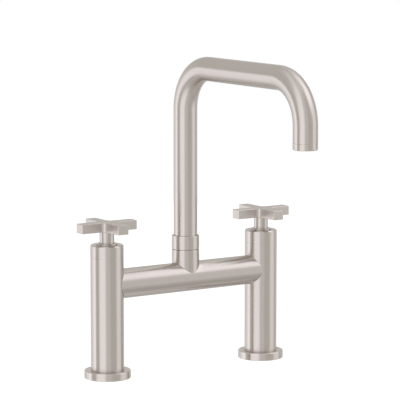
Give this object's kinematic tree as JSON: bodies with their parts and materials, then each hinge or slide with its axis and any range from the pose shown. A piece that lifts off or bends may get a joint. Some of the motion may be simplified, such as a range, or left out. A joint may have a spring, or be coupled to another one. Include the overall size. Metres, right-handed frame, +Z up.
{
  "type": "bridge kitchen faucet",
  "caption": "Deck-mounted bridge kitchen faucet with a square-bend swivel spout and cross handles in satin nickel.",
  "frame": {"origin": "on the deck, in the plane of the flanges' undersides, on the axis of the hot shank; the spout's swivel axis is 101.6 mm along +X and the cold shank's axis 203.2 mm", "axes": "+X along the bridge from the hot column to the cold one, -Y towards the user and the spout's outlet, +Z up"},
  "size_m": [0.2722, 0.2711, 0.4262],
  "materials": {
    "satin_nickel": "brushed nickel plate",
    "raw_brass": "machined",
    "copper": "drawn tube",
    "stainless_steel": "brushed",
    "black_rubber": "moulded",
    "white_ceramic": "lapped",
    "white_acetal": "moulded"
  },
  "bodies": {
    "root": {"hot_flange": "satin_nickel", "hot_flange_gasket": "black_rubber", "hot_column": "satin_nickel", "hot_column_cap": "satin_nickel", "hot_column_plug": "raw_brass", "hot_shank": "raw_brass", "hot_rubber_washer": "black_rubber", "hot_steel_washer": "stainless_steel", "hot_lock_nut": "raw_brass", "hot_supply_pipe": "copper", "hot_valve_body": "raw_brass", "hot_cartridge": "raw_brass", "hot_cartridge_seal": "black_rubber", "hot_seat_seal": "black_rubber", "hot_fixed_disc": "white_ceramic", "hot_bridge_nipple": "raw_brass", "hot_bridge_bush": "raw_brass", "cold_flange": "satin_nickel", "cold_flange_gasket": "black_rubber", "cold_column": "satin_nickel", "cold_column_cap": "satin_nickel", "cold_column_plug": "raw_brass", "cold_shank": "raw_brass", "cold_rubber_washer": "black_rubber", "cold_steel_washer": "stainless_steel", "cold_lock_nut": "raw_brass", "cold_supply_pipe": "copper", "cold_valve_body": "raw_brass", "cold_cartridge": "raw_brass", "cold_cartridge_seal": "black_rubber", "cold_seat_seal": "black_rubber", "cold_fixed_disc": "white_ceramic", "cold_bridge_nipple": "raw_brass", "cold_bridge_bush": "raw_brass", "bridge_tube": "satin_nickel", "bridge_seals": "black_rubber", "spout_post": "satin_nickel", "spout_collar": "satin_nickel", "spout_retainer": "white_acetal", "thrust_washer": "white_acetal"},
    "spout": {"swivel_tail": "raw_brass", "swivel_seals": "black_rubber", "spout_tube": "satin_nickel", "aerator_housing": "satin_nickel", "aerator_insert": "white_acetal", "aerator_washer": "black_rubber"},
    "hot_handle": {"hot_turning_disc": "white_ceramic", "hot_spindle": "raw_brass", "hot_spindle_seals": "black_rubber", "hot_spindle_clip": "stainless_steel", "hot_handle_hub": "satin_nickel", "hot_handle_cross": "satin_nickel", "hot_set_screw": "stainless_steel"},
    "cold_handle": {"cold_turning_disc": "white_ceramic", "cold_spindle": "raw_brass", "cold_spindle_seals": "black_rubber", "cold_spindle_clip": "stainless_steel", "cold_handle_hub": "satin_nickel", "cold_handle_cross": "satin_nickel", "cold_set_screw": "stainless_steel"}
  },
  "joints": [
    {"name": "spout_swivel", "type": "hinge", "parent": "root", "child": "spout", "pos_m": [0.1016, 0, 0], "axis": [0, 0, 1], "continuous": true},
    {"name": "hot_valve", "type": "hinge", "parent": "root", "child": "hot_handle", "pos_m": [0, 0, 0], "axis": [0, 0, 1], "range_deg": [0, 90]},
    {"name": "cold_valve", "type": "hinge", "parent": "root", "child": "cold_handle", "pos_m": [0.2032, 0, 0], "axis": [0, 0, -1], "range_deg": [0, 90]}
  ]
}
